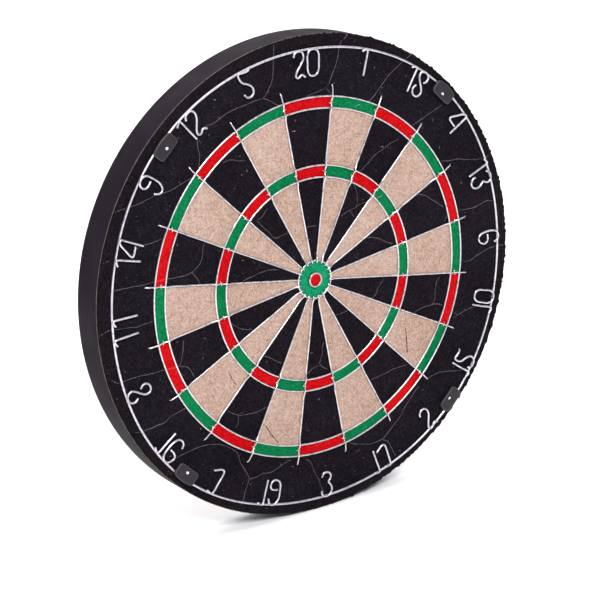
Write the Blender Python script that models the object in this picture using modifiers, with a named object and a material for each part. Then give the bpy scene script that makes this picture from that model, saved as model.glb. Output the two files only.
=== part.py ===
"""Bristle dartboard, 460 mm across and 45 mm deep.

World frame: +Z up, +X right, the playing face looks to -Y and the wall is the plane y = 0.
The origin is the middle of the back, where the hanging screw's head touches the wall.

Everything is modelled in the board's own axes and parented to the empty board_axes, which
stands them up: local X is world X, local Y is world Z, and local Z is the height off the wall
(so local Z 40 mm is the playing face). Angles are clock angles in degrees from the top.
"""
import bpy
import bmesh
from math import pi, sin, cos, radians

MM = 0.001

# ---- driving dimensions, in mm -------------------------------------------------------------
BOARD_R = 230.0            # outside of the rim band
WALL_GAP = 5.0             # wall to the back of the board
BODY_DEPTH = 35.0          # backing board and sisal together
FACE_Z = WALL_GAP + BODY_DEPTH
BACKING_T = 8.0            # wood-fibre backing board
BAND_T = 1.0               # rim band strip
BAND_SETBACK = 0.5         # band's front edge behind the playing face
GAP = 0.3                  # clearance between touching pieces
CORE_R = BOARD_R - BAND_T - GAP
CORE_CHAMFER = 0.8

SPIDER_WIRE_R = 0.8        # 1.6 mm round wire
DOUBLE_OUTER_R = 172.4
DOUBLE_INNER_R = 161.5
TREBLE_OUTER_R = 108.3
TREBLE_INNER_R = 97.2
OUTER_BULL_R = 18.3
RADIAL_END_R = 182.3
BULL_RING_OUT_R = 7.0      # inner bull ring, a steel band pressed into the sisal
BULL_RING_IN_R = 5.5
BULL_RING_RISE = 3.0
BULL_RING_BITE = 6.0
BULL_PLUG_RISE = 2.2

NUMBER_RING_R = 219.2      # mean radius of the number ring wire
NUMBER_RING_LOBE = 2.1     # bowed out at the four clips and in at the top, sides and bottom
NUMBER_RING_SHIFT = (1.2, -0.8)  # it lies a little right of the board's middle and low
NUMBER_RING_OVAL = 0.6     # bent by hand, so slightly oval
NUMBER_WIRE_R = 1.1        # 2.2 mm wire
NUMERAL_WIRE_R = 1.0       # 2.0 mm wire
NUMERAL_H = 24.5           # height of a numeral, measured inwards from the ring wire
NUMERAL_RISE = 1.65        # numerals' axis in front of the ring wire's axis

CLIP_W, CLIP_H, CLIP_T = 25.0, 14.4, 2.2
CLIP_CORNER = 3.6
CLIP_CROWN = 0.9           # how far the outer long side bows out in its middle
CLIP_UNDER = 2.8           # underside of the plate above the playing face
CLIP_NAIL_IN = 4.8         # nail to the clip's inner long edge
# Where the nails stand: clockwise angle from the top and radius. They were set by hand.
CLIPS = ((44.6, 216.2), (135.1, 216.0), (224.2, 215.2), (314.9, 213.1))
NAIL_SHANK_R = 0.8
NAIL_LENGTH = 20.0

PAD_R, PAD_CIRCLE_R = 12.0, 150.0
PAD_ANGLES = (0.0, 120.0, 240.0)

ORDER = (20, 1, 18, 4, 13, 6, 10, 15, 2, 17, 3, 19, 7, 16, 8, 11, 14, 9, 12, 5)


# ---- scene, materials and helpers ----------------------------------------------------------
for old in list(bpy.data.objects):
    bpy.data.objects.remove(old, do_unlink=True)


def collection(name):
    coll = bpy.data.collections.new(name)
    bpy.context.scene.collection.children.link(coll)
    return coll


PARTS = collection("dartboard")
CUTTERS = collection("cutters")

AXES = bpy.data.objects.new("board_axes", None)
AXES.rotation_euler = (pi / 2, 0.0, 0.0)
PARTS.objects.link(AXES)


def material(name, rgb, rough, metal=0.0):
    mat = bpy.data.materials.new(name)
    mat.use_nodes = True
    shader = mat.node_tree.nodes["Principled BSDF"]
    shader.inputs["Base Color"].default_value = (*rgb, 1.0)
    shader.inputs["Roughness"].default_value = rough
    shader.inputs["Metallic"].default_value = metal
    mat.diffuse_color = (*rgb, 1.0)
    return mat


def place(name, data, mat=None, coll=None, at=(0.0, 0.0, 0.0), turn=0.0, smooth=True):
    """Put a mesh or curve in the board's axes; at is in mm, turn is a clock angle."""
    obj = bpy.data.objects.new(name, data)
    (coll or PARTS).objects.link(obj)
    obj.parent = AXES
    obj.location = [c * MM for c in at]
    obj.rotation_euler = (0.0, 0.0, -radians(turn))
    if mat is not None and not data.materials:
        data.materials.append(mat)
    if coll is CUTTERS:
        obj.hide_render = True
        obj.display_type = 'WIRE'
    elif smooth and isinstance(data, bpy.types.Mesh):
        data.shade_smooth()
        data.set_sharp_from_angle(angle=radians(35))
    return obj


def cylinder(name, r, z0, z1, sides, r_top=None):
    """A closed cylinder or cone between two heights."""
    bm = bmesh.new()
    bmesh.ops.create_cone(bm, cap_ends=True, cap_tris=False, segments=sides, radius1=r * MM,
                          radius2=(r if r_top is None else r_top) * MM, depth=(z1 - z0) * MM)
    bmesh.ops.translate(bm, verts=bm.verts, vec=(0.0, 0.0, (z0 + z1) / 2 * MM))
    mesh = bpy.data.meshes.new(name)
    bm.to_mesh(mesh)
    bm.free()
    return mesh


def profile_mesh(name, points, closed):
    """A profile in the XZ plane, for the Screw modifier; points are (radius, height) in mm."""
    mesh = bpy.data.meshes.new(name)
    edges = [(i, i + 1) for i in range(len(points) - 1)]
    if closed:
        edges.append((len(points) - 1, 0))
    mesh.from_pydata([(r * MM, 0.0, z * MM) for r, z in points], edges, [])
    return mesh


def turned(name, points, steps, closed=False, **kw):
    obj = place(name, profile_mesh(name, points, closed), smooth=False, **kw)
    mod = obj.modifiers.new("turn", 'SCREW')
    mod.axis = 'Z'
    mod.angle = 2 * pi
    mod.steps = mod.render_steps = steps
    mod.use_merge_vertices = True
    mod.merge_threshold = 0.00001
    mod.use_smooth_shade = False
    return obj


def boolean(obj, other, operation='DIFFERENCE'):
    mod = obj.modifiers.new(other.name, 'BOOLEAN')
    mod.operation = operation
    mod.solver = 'EXACT'
    mod.object = other


def wire_curve(name, strands, radius, resolution=1):
    """Round wire along one or more strands, each (list of points in mm, closed or not)."""
    curve = bpy.data.curves.new(name, 'CURVE')
    curve.dimensions = '3D'
    curve.bevel_depth = radius * MM
    curve.bevel_resolution = resolution
    curve.use_fill_caps = True
    for points, closed in strands:
        spline = curve.splines.new('POLY')
        spline.points.add(len(points) - 1)
        for slot, p in zip(spline.points, points):
            slot.co = (p[0] * MM, p[1] * MM, p[2] * MM, 1.0)
        spline.use_cyclic_u = closed
    return curve


def wire_mesh(name, strands, radius):
    """The same wire as one welded mesh, ready for a Boolean."""
    temp = bpy.data.objects.new(name + "_curve", wire_curve(name, strands, radius))
    PARTS.objects.link(temp)
    bpy.context.view_layer.update()
    mesh = bpy.data.meshes.new_from_object(temp.evaluated_get(
        bpy.context.evaluated_depsgraph_get()))
    bpy.data.objects.remove(temp, do_unlink=True)
    bm = bmesh.new()
    bm.from_mesh(mesh)
    bmesh.ops.remove_doubles(bm, verts=bm.verts, dist=0.00001)
    bm.to_mesh(mesh)
    bm.free()
    mesh.name = name
    return mesh


def torus(name, major, minor, z, sides_major, mat):
    bpy.ops.mesh.primitive_torus_add(major_segments=sides_major, minor_segments=6,
                                     major_radius=major * MM, minor_radius=minor * MM)
    temp = bpy.context.object
    mesh = temp.data
    bpy.data.objects.remove(temp, do_unlink=True)
    mesh.name = name
    return place(name, mesh, mat, at=(0.0, 0.0, z))


MAT_SISAL = material("sisal_black", (0.012, 0.010, 0.013), 0.95)
MAT_BACKING = material("fibre_board", (0.36, 0.24, 0.14), 0.85)
MAT_BAND = material("band_black", (0.035, 0.032, 0.038), 0.42, 0.3)
MAT_WIRE = material("galvanised_wire", (0.78, 0.78, 0.80), 0.35, 0.9)
MAT_NUMERAL = material("number_wire", (0.80, 0.80, 0.84), 0.35, 0.9)
MAT_CLIP = material("clip_black", (0.045, 0.043, 0.047), 0.45, 0.2)
MAT_NAIL = material("bright_nail", (0.75, 0.75, 0.76), 0.30, 1.0)
MAT_ZINC = material("zinc_screw", (0.62, 0.62, 0.64), 0.35, 1.0)
MAT_PAD = material("pad_rubber", (0.02, 0.02, 0.02), 0.80)


# ---- body: sisal core, backing board, rim band ---------------------------------------------
core_mesh = cylinder("sisal_core", CORE_R, WALL_GAP + BACKING_T + GAP, FACE_Z, 96)
bm = bmesh.new()
bm.from_mesh(core_mesh)
front_rim = [e for e in bm.edges if all(v.co.z > (FACE_Z - 0.01) * MM for v in e.verts)]
bmesh.ops.bevel(bm, geom=front_rim, offset=CORE_CHAMFER * MM, segments=1, profile=0.5,
                affect='EDGES')
bm.to_mesh(core_mesh)
bm.free()
core = place("sisal_core", core_mesh, MAT_SISAL)

plug = place("bull_plug", cylinder("bull_plug", BULL_RING_IN_R - 2 * GAP, FACE_Z - 1.0,
                                   FACE_Z + BULL_PLUG_RISE, 20), MAT_SISAL, CUTTERS)
boolean(core, plug, 'UNION')
groove = turned("bull_groove", [(BULL_RING_OUT_R + GAP, FACE_Z + 4.0),
                                (BULL_RING_OUT_R + GAP, FACE_Z - BULL_RING_BITE - GAP),
                                (BULL_RING_IN_R - GAP, FACE_Z - BULL_RING_BITE - GAP),
                                (BULL_RING_IN_R - GAP, FACE_Z + 4.0)], 24, closed=True,
                coll=CUTTERS)
boolean(core, groove)

backing = place("backing_board", cylinder("backing_board", CORE_R, WALL_GAP,
                                          WALL_GAP + BACKING_T, 96), MAT_BACKING)

turned("rim_band", [(BOARD_R, FACE_Z - BAND_SETBACK), (BOARD_R, WALL_GAP),
                    (BOARD_R - BAND_T, WALL_GAP), (BOARD_R - BAND_T, FACE_Z - BAND_SETBACK)],
       96, closed=True, mat=MAT_BAND)

# ---- spider --------------------------------------------------------------------------------
WIRE_Z = FACE_Z + GAP + SPIDER_WIRE_R                 # axis of a wire lying on the face
CROSS_Z = WIRE_Z + 2 * SPIDER_WIRE_R + GAP + 0.2      # axis of a wire crossing another

torus("double_outer_wire", DOUBLE_OUTER_R, SPIDER_WIRE_R, WIRE_Z, 64, MAT_WIRE)
torus("double_inner_wire", DOUBLE_INNER_R, SPIDER_WIRE_R, WIRE_Z, 64, MAT_WIRE)
torus("treble_outer_wire", TREBLE_OUTER_R, SPIDER_WIRE_R, WIRE_Z, 48, MAT_WIRE)
torus("treble_inner_wire", TREBLE_INNER_R, SPIDER_WIRE_R, WIRE_Z, 48, MAT_WIRE)
torus("outer_bull_wire", OUTER_BULL_R, SPIDER_WIRE_R, WIRE_Z, 24, MAT_WIRE)
turned("inner_bull_ring", [(BULL_RING_OUT_R, FACE_Z + BULL_RING_RISE),
                           (BULL_RING_OUT_R, FACE_Z - BULL_RING_BITE),
                           (BULL_RING_IN_R, FACE_Z - BULL_RING_BITE),
                           (BULL_RING_IN_R, FACE_Z + BULL_RING_RISE)], 24, closed=True,
       mat=MAT_WIRE)

# One radial wire: hooked inside the outer bull wire, over each ring wire and down between.
radial_path = [(OUTER_BULL_R - 2.6, WIRE_Z), (OUTER_BULL_R - 1.6, CROSS_Z - 0.1),
               (OUTER_BULL_R + 1.4, CROSS_Z), (OUTER_BULL_R + 8.0, WIRE_Z)]
for inner, outer in ((TREBLE_INNER_R, TREBLE_OUTER_R), (DOUBLE_INNER_R, DOUBLE_OUTER_R)):
    radial_path += [(inner - 7.0, WIRE_Z), (inner, CROSS_Z),
                    ((inner + outer) / 2, WIRE_Z + 0.3),
                    (outer, CROSS_Z), (outer + 7.0, WIRE_Z)]
radial_path += [(RADIAL_END_R, WIRE_Z)]
radial_curve = wire_curve("radial_wire", [([(0.0, r, z) for r, z in radial_path], False)],
                          SPIDER_WIRE_R)
radial_curve.materials.append(MAT_WIRE)
for k in range(20):
    place("radial_wire_%02d" % (k + 1), radial_curve, turn=9.0 + 18.0 * k)

# ---- number ring ---------------------------------------------------------------------------
RING_Z = FACE_Z + GAP + NUMBER_WIRE_R
NUMERAL_Z = RING_Z + NUMERAL_RISE


def ring_r(deg):
    a = radians(deg)
    return (NUMBER_RING_R - NUMBER_RING_LOBE * cos(4.0 * a) + NUMBER_RING_SHIFT[0] * sin(a)
            + NUMBER_RING_SHIFT[1] * cos(a) + NUMBER_RING_OVAL * cos(2.0 * a - radians(33.0)))


# Wire shapes of the numerals as a person reads them: x right and y up from the foot, in mm,
# drawn 24 mm tall.
GLYPHS = {
    '0': ([(0, 24), (-4.2, 22.8), (-6.4, 19), (-6.6, 6), (-4.2, 1.2), (0, 0), (4.2, 1.2),
           (6.6, 6), (6.4, 19), (4.2, 22.8)], True),
    '1': ([(0, 0), (-1.5, 23.6), (-2.6, 24), (-7.2, 21.6)], False),
    '2': ([(-6.4, 19.6), (-4.6, 22.8), (-1.2, 24), (3, 23), (4.6, 19.6), (3.4, 15), (-4.2, 6),
           (-5.6, 3.2), (-4.6, 0.8), (-2.2, 0.6), (1.4, 2.6), (3.6, 2), (5.6, 0)], False),
    '3': ([(-5.6, 20), (-3, 23.4), (0.7, 24), (4.6, 22.4), (5.8, 19.4), (2.4, 14.2),
           (5.6, 9), (5.8, 4.6), (2.4, 0.6), (-2, 0), (-5.8, 3), (-6, 6.4)], False),
    '4': ([(1.6, 7.6), (-7.8, 7.6), (-9.1, 9), (0.5, 22.4), (3, 24), (5.4, 22.6), (3.6, 0)],
          False),
    '5': ([(7.2, 24), (0, 22.8), (-4.9, 24), (-4.9, 19.4), (-3.5, 15.4), (2.8, 10.6),
           (5.6, 6.6), (4.6, 2), (1.4, 0), (-2.8, 0.3), (-6, 4.2)], False),
    '6': ([(6.4, 19), (4.4, 22.8), (0, 24), (-4, 22), (-6, 17), (-6.3, 8.6), (-4.6, 2.4),
           (-0.8, 0), (3.8, 1.6), (6.4, 7), (5, 9.8), (1.7, 11), (-3, 11)], False),
    '7': ([(-8, 20.4), (0.5, 24), (4, 22.8), (4.4, 20), (2.4, 1.6), (1, 0), (-4.6, 1.4)],
          False),
    '8': ([(3.0, 14.6), (5.2, 17.4), (5, 21.2), (2, 23.7), (-2, 24), (-5.4, 21.6),
           (-5, 17.6), (-2, 14), (2.6, 10), (5.6, 5.6), (4, 1.4), (0.5, 0), (-4, 1.4),
           (-6, 5.4), (-4.2, 9.4)], False),
    '9': ([(-5.6, 6), (-3, 1.2), (0, 0), (3.5, 1.4), (6.2, 5.6), (6.5, 14), (5.4, 20.6),
           (2.1, 23.6), (-2.1, 24), (-5.4, 21.8), (-6, 17.8), (-3.5, 15), (3.2, 14.6)], False),
}
# On the lower half the numbers stand with their feet on the ring, and their 1 has its flag
# at the foot, on the other side.
FEET_OUT = {10, 15, 2, 17, 3, 19, 7, 16, 8}
FOOT_ONE = ([(0, 24), (0.4, 0.4), (-1.2, 0), (-6, 1.6)], False)

# Clockwise place of each digit's middle along the ring, in mm from the sector's middle.
DIGIT_AT = {20: (-8.8, 6.8), 1: (1.4,), 18: (-6.3, 4.4), 4: (-1.4,), 13: (-8.7, 2.3),
            6: (-3.0,), 10: (3.1, -7.7), 15: (2.4, -7.2), 2: (-3.5,), 17: (2.1, -9.6),
            3: (-3.0,), 19: (3.5, -7.7), 7: (-3.5,), 16: (2.1, -9.6), 8: (-3.5,),
            11: (-11.9, 6.7), 14: (-6.2, 6.0), 9: (-2.1,), 12: (-7.4, 2.3), 5: (-2.8,)}


def numeral_strands():
    strands = []
    for sector, number in enumerate(ORDER):
        mid = 18.0 * sector
        feet_out = number in FEET_OUT
        for digit, at in zip(str(number), DIGIT_AT[number]):
            points, closed = FOOT_ONE if feet_out and digit == '1' else GLYPHS[digit]
            path = []
            for x, y in points:
                if feet_out:
                    x, y = (x if digit == '8' else -x), 24.0 - y
                deg = mid + (at + x) / NUMBER_RING_R * 180.0 / pi
                r = ring_r(deg) - NUMERAL_H * (1.0 - y / 24.0)
                path.append((r * sin(radians(deg)), r * cos(radians(deg)), NUMERAL_Z))
            strands.append((path, closed))
    return strands


ring_points = [(ring_r(a) * sin(radians(a)), ring_r(a) * cos(radians(a)), RING_Z)
               for a in (4.5 * i for i in range(80))]
number_ring = place("number_ring", wire_mesh("number_ring", [(ring_points, True)],
                                             NUMBER_WIRE_R), MAT_NUMERAL)
numerals = place("numerals", wire_mesh("numerals", numeral_strands(), NUMERAL_WIRE_R),
                 MAT_NUMERAL, CUTTERS)
boolean(number_ring, numerals, 'UNION')

# ---- clips and their nails -----------------------------------------------------------------
def clip_outline():
    """Outline of the plate, counter-clockwise; the nail's hole is at the origin, +Y is out."""
    half, low = CLIP_W / 2 - CLIP_CORNER, -CLIP_NAIL_IN + CLIP_CORNER
    high = CLIP_H - CLIP_NAIL_IN - CLIP_CROWN - CLIP_CORNER
    points = []
    for cx, cy, start in ((half, low, -90), (half, high, 0), (-half, high, 90),
                          (-half, low, 180)):
        for step in range(4):
            a = radians(start + 30 * step)
            points.append((cx + CLIP_CORNER * cos(a), cy + CLIP_CORNER * sin(a)))
        if start == 0:
            points += [(x, high + CLIP_CORNER + CLIP_CROWN * (1 - (x / half) ** 2))
                       for x in (0.5 * half, 0.0, -0.5 * half)]
    return points


def clip_mesh():
    """A flat plate from its outline, with a chamfer round its top edge."""
    curve = bpy.data.curves.new("clip_outline", 'CURVE')
    curve.dimensions = '2D'
    curve.fill_mode = 'BOTH'
    curve.extrude = CLIP_T / 2 * MM
    outline = clip_outline()
    spline = curve.splines.new('POLY')
    spline.points.add(len(outline) - 1)
    for slot, (x, y) in zip(spline.points, outline):
        slot.co = (x * MM, y * MM, 0.0, 1.0)
    spline.use_cyclic_u = True
    temp = bpy.data.objects.new("clip_outline", curve)
    PARTS.objects.link(temp)
    bpy.context.view_layer.update()
    mesh = bpy.data.meshes.new_from_object(temp.evaluated_get(
        bpy.context.evaluated_depsgraph_get()))
    bpy.data.objects.remove(temp, do_unlink=True)
    bm = bmesh.new()
    bm.from_mesh(mesh)
    bmesh.ops.remove_doubles(bm, verts=bm.verts, dist=0.00001)
    bmesh.ops.dissolve_limit(bm, angle_limit=radians(1), verts=bm.verts, edges=bm.edges)
    bmesh.ops.recalc_face_normals(bm, faces=bm.faces)
    top = [e for e in bm.edges if all(v.co.z > 0.45 * CLIP_T * MM for v in e.verts)
           and len({round(f.normal.z, 2) for f in e.link_faces}) > 1]
    bmesh.ops.bevel(bm, geom=top, offset=0.6 * MM, segments=1, profile=0.5, affect='EDGES')
    bmesh.ops.translate(bm, verts=bm.verts, vec=(0.0, 0.0, (CLIP_UNDER + CLIP_T / 2) * MM))
    bm.to_mesh(mesh)
    bm.free()
    mesh.name = "ring_clip"
    return mesh


NAIL_TOP = 4.6             # top of the nail's head above the face
NAIL_HEAD_T = 1.2
RECESS_Z = 3.1             # floor of the clip's nail recess above the face
nail_profile = [(0.0, NAIL_TOP), (1.1, NAIL_TOP - 0.1), (1.6, NAIL_TOP - 0.5),
                (1.6, NAIL_TOP - NAIL_HEAD_T), (NAIL_SHANK_R, NAIL_TOP - NAIL_HEAD_T),
                (NAIL_SHANK_R, NAIL_TOP - NAIL_LENGTH + 1.6), (0.0, NAIL_TOP - NAIL_LENGTH)]
for i, (angle, nail_r) in enumerate(CLIPS, 1):
    where = (nail_r * sin(radians(angle)), nail_r * cos(radians(angle)), FACE_Z)
    clip = place("ring_clip_%d" % i, clip_mesh(), MAT_CLIP, at=where, turn=angle)
    boss = place("clip_boss_%d" % i, cylinder("clip_boss", 3.0, GAP, CLIP_UNDER + 0.6, 12, 3.3),
                 MAT_CLIP, CUTTERS, at=where, turn=angle)
    boolean(clip, boss, 'UNION')
    recess = place("clip_recess_%d" % i, cylinder("clip_recess", 2.2, RECESS_Z, 8.0, 12),
                   None, CUTTERS, at=where, turn=angle)
    boolean(clip, recess)
    hole = place("clip_hole_%d" % i, cylinder("clip_hole", 1.15, -2.0, RECESS_Z + 1.0, 12),
                 None, CUTTERS, at=where, turn=angle)
    boolean(clip, hole)
    turned("clip_nail_%d" % i, nail_profile, 12, at=where, turn=angle, mat=MAT_NAIL)
    nail_hole = place("nail_hole_%d" % i,
                      cylinder("nail_hole", 1.2, NAIL_TOP - NAIL_LENGTH - 1.0, 2.0, 10),
                      None, CUTTERS, at=where, turn=angle)
    boolean(core, nail_hole)

# ---- back: hanging screw, washer, spacer pads and their screws -----------------------------
# Heights off the wall. The hanging screw's head stands clear of the washer, so that a wall
# bracket's slot slips in between them.
turned("hanging_screw", [(0.0, 11.0), (2.0, 10.0), (2.0, 2.2), (4.5, 2.2), (4.5, 0.6),
                         (3.6, 0.0), (0.0, 0.0)], 16, mat=MAT_ZINC)
turned("hanging_washer", [(6.5, 4.7), (6.5, 3.9), (2.6, 3.9), (2.6, 4.7)], 16, closed=True,
       mat=MAT_ZINC)
boolean(backing, place("hanging_screw_hole", cylinder("hanging_screw_hole", 2.4, 2.0, 12.0, 12),
                       None, CUTTERS))

for i, angle in enumerate(PAD_ANGLES, 1):
    where = (PAD_CIRCLE_R * sin(radians(angle)), PAD_CIRCLE_R * cos(radians(angle)), 0.0)
    turned("spacer_pad_%d" % i, [(PAD_R - 0.8, WALL_GAP - GAP), (PAD_R, WALL_GAP - GAP - 0.8),
                                 (PAD_R, 0.8), (PAD_R - 0.8, 0.0), (4.4, 0.0), (4.4, 2.6),
                                 (2.2, 2.6), (2.2, WALL_GAP - GAP)], 24, closed=True,
           at=where, mat=MAT_PAD)
    turned("spacer_screw_%d" % i, [(0.0, 11.5), (1.6, 9.5), (1.6, 2.3), (4.0, 2.3), (4.0, 1.6),
                                   (2.8, 0.6), (0.0, 0.6)], 12, at=where, mat=MAT_ZINC)
    boolean(backing, place("pad_screw_hole_%d" % i,
                           cylinder("pad_screw_hole", 2.0, 2.0, 12.4, 12), None, CUTTERS,
                           at=where))

bpy.context.view_layer.update()
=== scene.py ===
import math
import bpy
import bmesh
import numpy as np
from mathutils import Matrix, Vector, noise

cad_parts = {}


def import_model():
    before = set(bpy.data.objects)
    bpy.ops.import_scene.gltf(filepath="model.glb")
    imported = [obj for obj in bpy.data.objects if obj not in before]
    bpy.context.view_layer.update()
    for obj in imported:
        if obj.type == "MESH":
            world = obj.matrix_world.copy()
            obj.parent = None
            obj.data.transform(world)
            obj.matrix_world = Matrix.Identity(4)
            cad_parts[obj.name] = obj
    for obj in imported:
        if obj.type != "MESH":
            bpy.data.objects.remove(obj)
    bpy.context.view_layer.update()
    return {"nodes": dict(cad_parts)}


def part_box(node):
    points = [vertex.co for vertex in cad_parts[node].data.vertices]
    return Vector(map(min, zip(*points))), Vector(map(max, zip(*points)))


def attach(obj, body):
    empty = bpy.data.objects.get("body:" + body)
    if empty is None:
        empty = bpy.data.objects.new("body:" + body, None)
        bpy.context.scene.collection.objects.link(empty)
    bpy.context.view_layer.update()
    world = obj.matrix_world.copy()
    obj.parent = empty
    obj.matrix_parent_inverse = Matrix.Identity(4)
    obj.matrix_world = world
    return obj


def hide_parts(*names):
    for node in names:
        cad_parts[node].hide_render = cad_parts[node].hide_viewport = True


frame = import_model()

rng = np.random.default_rng(20)
pi = math.pi
ORDER = (20, 1, 18, 4, 13, 6, 10, 15, 2, 17, 3, 19, 7, 16, 8, 11, 14, 9, 12, 5)

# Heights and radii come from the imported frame.
FACE_Y = -0.040
RIM_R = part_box("rim_band")[1].x * 1000.0                       # 230
DOUBLE_OUT = (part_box("double_outer_wire")[1].x * 1000.0) - 0.8
DOUBLE_IN = (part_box("double_inner_wire")[1].x * 1000.0) - 0.8
TREBLE_OUT = (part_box("treble_outer_wire")[1].x * 1000.0) - 0.8
TREBLE_IN = (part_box("treble_inner_wire")[1].x * 1000.0) - 0.8
BULL_WIRE = (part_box("outer_bull_wire")[1].x * 1000.0) - 0.8
BULL_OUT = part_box("inner_bull_ring")[1].x * 1000.0
BULL_IN = BULL_OUT - 1.5
CORE_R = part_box("sisal_core")[1].x * 1000.0


# ------------------------------------------------------------------------------------------
# geometry helpers
# ------------------------------------------------------------------------------------------
def world(points):
    """Board millimetres to world metres."""
    p = np.asarray(points, float)
    return np.stack([p[:, 0] * 0.001, FACE_Y - p[:, 2] * 0.001, p[:, 1] * 0.001], 1)


def clock(r, deg, h=0.0):
    a = math.radians(deg)
    return (r * math.sin(a), r * math.cos(a), h)


def mesh_object(name, verts, faces, mats, face_mats=None, smooth=True, body="board"):
    me = bpy.data.meshes.new(name)
    me.from_pydata([tuple(v) for v in world(verts)], [], [tuple(int(i) for i in f) for f in faces])
    for m in (mats if isinstance(mats, (list, tuple)) else [mats]):
        me.materials.append(m)
    if face_mats is not None:
        me.polygons.foreach_set("material_index", np.asarray(face_mats, np.int32))
    me.polygons.foreach_set("use_smooth", np.full(len(me.polygons), smooth))
    me.update()
    ob = bpy.data.objects.new(name, me)
    bpy.context.scene.collection.objects.link(ob)
    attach(ob, body)
    return ob


def tube(points, radius, sides=10, closed=False, caps=True, phase=0.0):
    """Round wire along points; radius may be a list. Returns verts, faces."""
    p = np.asarray(points, float)
    n = len(p)
    rad = np.full(n, radius, float) if np.isscalar(radius) else np.asarray(radius, float)
    if closed:
        t = np.roll(p, -1, 0) - np.roll(p, 1, 0)
    else:
        t = np.gradient(p, axis=0)
    t /= np.linalg.norm(t, axis=1)[:, None]
    up = np.array([0.0, 0.0, 1.0])
    side = np.cross(t, up)
    bad = np.linalg.norm(side, axis=1) < 0.15
    if bad.any():
        good = np.where(~bad)[0]
        if len(good) == 0:
            side[:] = (1.0, 0.0, 0.0)
        else:
            for i in np.where(bad)[0]:
                side[i] = side[good[np.argmin(np.abs(good - i))]]
    side -= (side * t).sum(1)[:, None] * t
    side /= np.linalg.norm(side, axis=1)[:, None]
    nor = np.cross(side, t)
    a = phase + np.arange(sides) * 2 * pi / sides
    ring = (np.cos(a)[None, :, None] * side[:, None, :] + np.sin(a)[None, :, None] * nor[:, None, :])
    verts = (p[:, None, :] + ring * rad[:, None, None]).reshape(-1, 3)
    faces = []
    last = n if closed else n - 1
    for i in range(last):
        j = (i + 1) % n
        for s in range(sides):
            q = (s + 1) % sides
            faces.append((i * sides + s, i * sides + q, j * sides + q, j * sides + s))
    if not closed and caps:
        c0, c1 = len(verts), len(verts) + 1
        verts = np.vstack([verts, p[0] - t[0] * rad[0] * 0.35, p[-1] + t[-1] * rad[-1] * 0.35])
        for s in range(sides):
            q = (s + 1) % sides
            faces.append((c0, q, s))
            faces.append((c1, (n - 1) * sides + s, (n - 1) * sides + q))
    return verts, faces


def join_parts(parts):
    """[(verts, faces), ...] as one list of verts and faces."""
    verts, faces, base = [], [], 0
    for v, f in parts:
        v = np.asarray(v, float)
        verts.append(v)
        faces.extend([tuple(i + base for i in face) for face in f])
        base += len(v)
    return np.vstack(verts), faces


def outward(verts, faces):
    """Turn the faces of a closed shape outwards if its volume comes out negative."""
    v = np.asarray(verts, float)
    vol = 0.0
    for f in faces:
        for i in range(1, len(f) - 1):
            a, b, c = v[f[0]], v[f[i]], v[f[i + 1]]
            vol += float(np.dot(a, np.cross(b, c)))
    if vol < 0:
        faces = [tuple(reversed(f)) for f in faces]
    return verts, faces


def smooth_path(points, closed=False, step=1.2):
    """A Catmull-Rom curve through points, resampled every step mm."""
    p = [np.array(q, float) for q in points]
    n = len(p)
    out = []
    segs = n if closed else n - 1
    for i in range(segs):
        p0 = p[(i - 1) % n] if (closed or i > 0) else p[0] + (p[0] - p[1])
        p1, p2 = p[i], p[(i + 1) % n]
        p3 = p[(i + 2) % n] if (closed or i + 2 < n) else p[-1] + (p[-1] - p[-2])
        k = max(2, int(round(np.linalg.norm(p2 - p1) / step)))
        # centripetal knots keep the curve from overshooting at unequal spacings
        d1 = max(np.linalg.norm(p1 - p0), 1e-6) ** 0.5
        d2 = max(np.linalg.norm(p2 - p1), 1e-6) ** 0.5
        d3 = max(np.linalg.norm(p3 - p2), 1e-6) ** 0.5
        t0, t1 = 0.0, d1
        t2, t3 = t1 + d2, t1 + d2 + d3
        for s in range(k):
            t = t1 + (t2 - t1) * s / k
            a1 = (t1 - t) / (t1 - t0) * p0 + (t - t0) / (t1 - t0) * p1
            a2 = (t2 - t) / (t2 - t1) * p1 + (t - t1) / (t2 - t1) * p2
            a3 = (t3 - t) / (t3 - t2) * p2 + (t - t2) / (t3 - t2) * p3
            b1 = (t2 - t) / (t2 - t0) * a1 + (t - t0) / (t2 - t0) * a2
            b2 = (t3 - t) / (t3 - t1) * a2 + (t - t1) / (t3 - t1) * a3
            out.append((t2 - t) / (t2 - t1) * b1 + (t - t1) / (t2 - t1) * b2)
    if not closed:
        out.append(p[-1])
    return np.array(out)


def turned(profile, steps, closed=False):
    """Turn (radius, h) points about the board's axis. A point on the axis becomes one vertex."""
    verts, rings = [], []
    for r, h in profile:
        if r < 1e-9:
            rings.append([len(verts)] * steps)
            verts.append((0.0, 0.0, h))
        else:
            rings.append(list(range(len(verts), len(verts) + steps)))
            for i in range(steps):
                a = 2 * pi * i / steps
                verts.append((r * math.cos(a), r * math.sin(a), h))
    faces = []
    pairs = len(profile) if closed else len(profile) - 1
    for k in range(pairs):
        a, b = rings[k], rings[(k + 1) % len(profile)]
        for i in range(steps):
            j = (i + 1) % steps
            f = [a[i], a[j], b[j], b[i]]
            f = [x for n, x in enumerate(f) if x != f[n - 1]]
            if len(set(f)) > 2:
                faces.append(tuple(f))
    return outward(verts, faces)


def moved(vf, x, y, h=0.0, turn=0.0):
    """Turn clockwise by turn degrees, then shift."""
    v, f = vf
    v = np.asarray(v, float).copy()
    a = -math.radians(turn)
    c, s = math.cos(a), math.sin(a)
    v[:, :2] = np.stack([v[:, 0] * c - v[:, 1] * s, v[:, 0] * s + v[:, 1] * c], 1)
    v += (x, y, h)
    return v, f


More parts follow.
